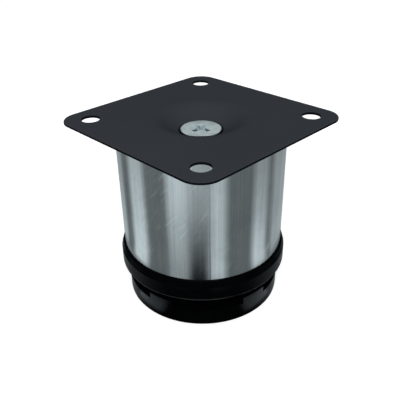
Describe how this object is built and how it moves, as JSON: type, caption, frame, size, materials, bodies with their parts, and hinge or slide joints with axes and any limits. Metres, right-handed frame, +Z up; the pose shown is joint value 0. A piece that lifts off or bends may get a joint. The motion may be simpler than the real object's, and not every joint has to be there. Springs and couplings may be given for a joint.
{
  "type": "adjustable cabinet leg",
  "caption": "Short round adjustable cabinet leg: square black mounting plate, bright plated tube and a black threaded plastic foot with grip blocks.",
  "frame": {"origin": "on the floor, at the centre of the leg's footprint", "axes": "+Z up along the tube's axis, X and Y parallel to the plate's sides"},
  "size_m": [0.0594, 0.0594, 0.057],
  "materials": {
    "plate_coat": "matte powder coat",
    "screw_zinc": "zinc plated",
    "inner_zinc": "zinc plated",
    "tube_plating": "bright",
    "black_plastic": "satin"
  },
  "bodies": {
    "leg": {"mounting_plate": "plate_coat", "centre_screw": "screw_zinc", "end_cup": "inner_zinc", "cap_nut": "inner_zinc", "tube": "tube_plating", "foot_sleeve": "black_plastic"},
    "foot": {"adjusting_foot": "black_plastic"}
  },
  "joints": [
    {"name": "foot_height", "type": "slide", "parent": "leg", "child": "foot", "axis": [0, 0, -1], "range_m": [-0.0026, 0.0125]}
  ]
}
